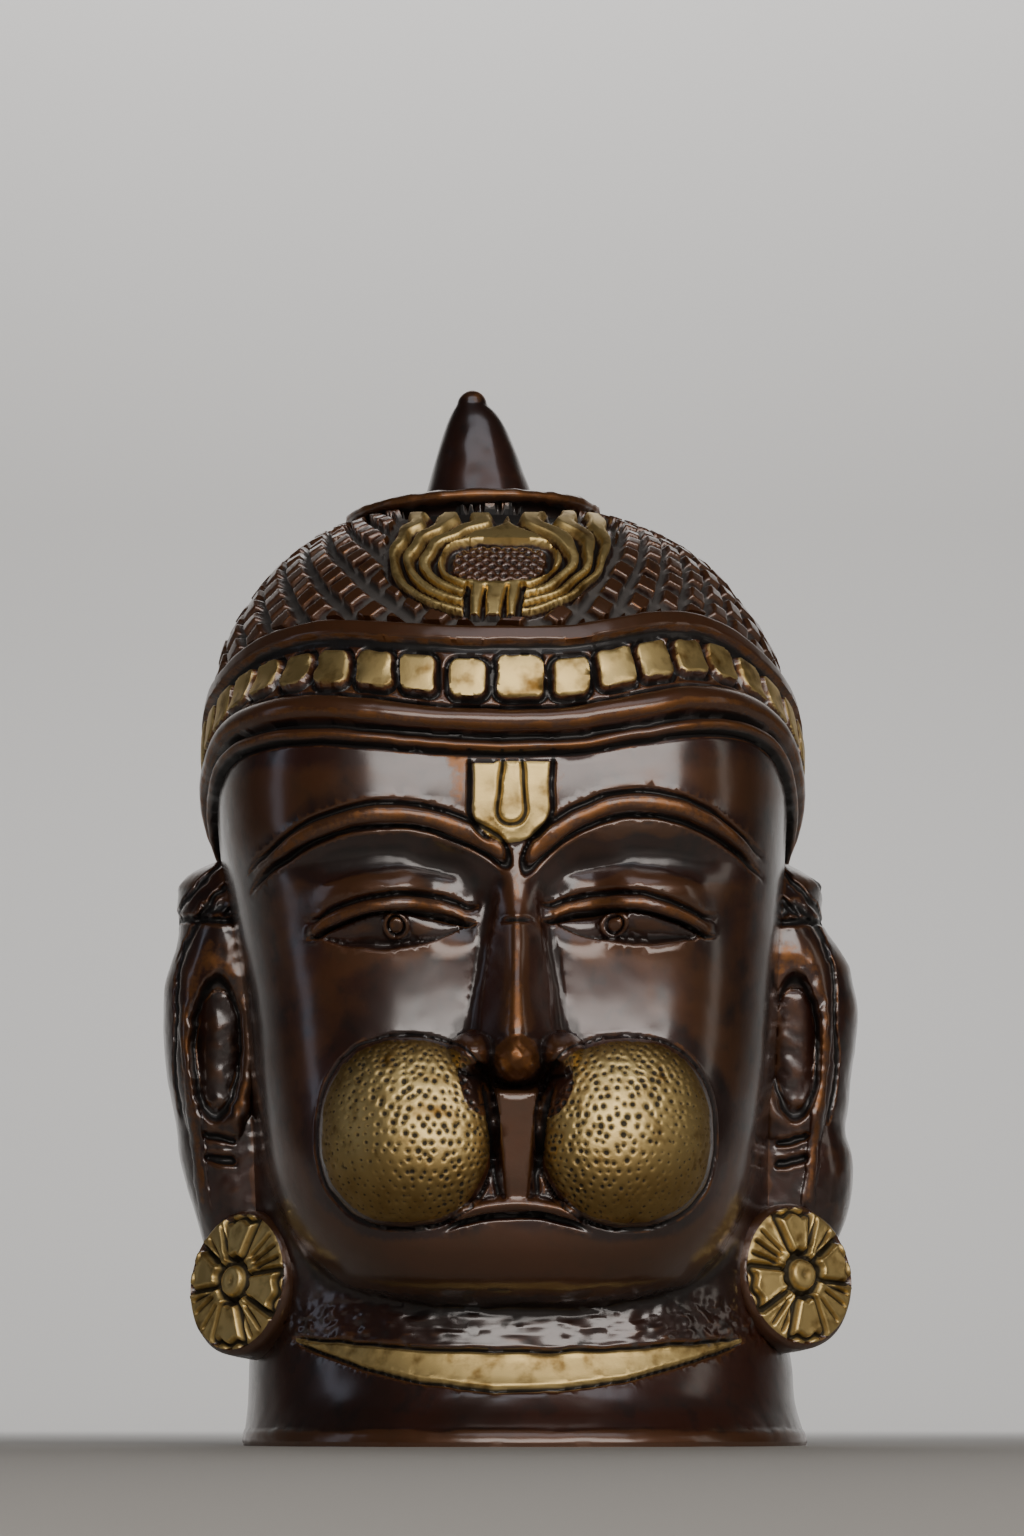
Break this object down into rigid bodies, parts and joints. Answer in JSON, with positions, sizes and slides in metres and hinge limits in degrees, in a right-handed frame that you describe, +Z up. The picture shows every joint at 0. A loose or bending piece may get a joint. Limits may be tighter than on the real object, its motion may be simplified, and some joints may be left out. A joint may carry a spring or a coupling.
{
  "type": "deity mask",
  "caption": "Hollow cast brass mask of a crowned monkey-faced deity with flower earrings, open behind and under the neck, that stands on its neck or lies flat against a wall.",
  "frame": {"origin": "middle of the bounding box, at the height of the neck's flat underside", "axes": "+Z up towards the finial, -Y the way the face looks, +Y towards the open back rim, +X to the right of someone who faces the mask"},
  "size_m": [0.1259, 0.0814, 0.1906],
  "materials": {
    "patinated_brass": "dark brown patina, polished bright on the raised ornament"
  },
  "bodies": {
    "root": {"hanuman_mask": "patinated_brass"}
  },
  "joints": []
}
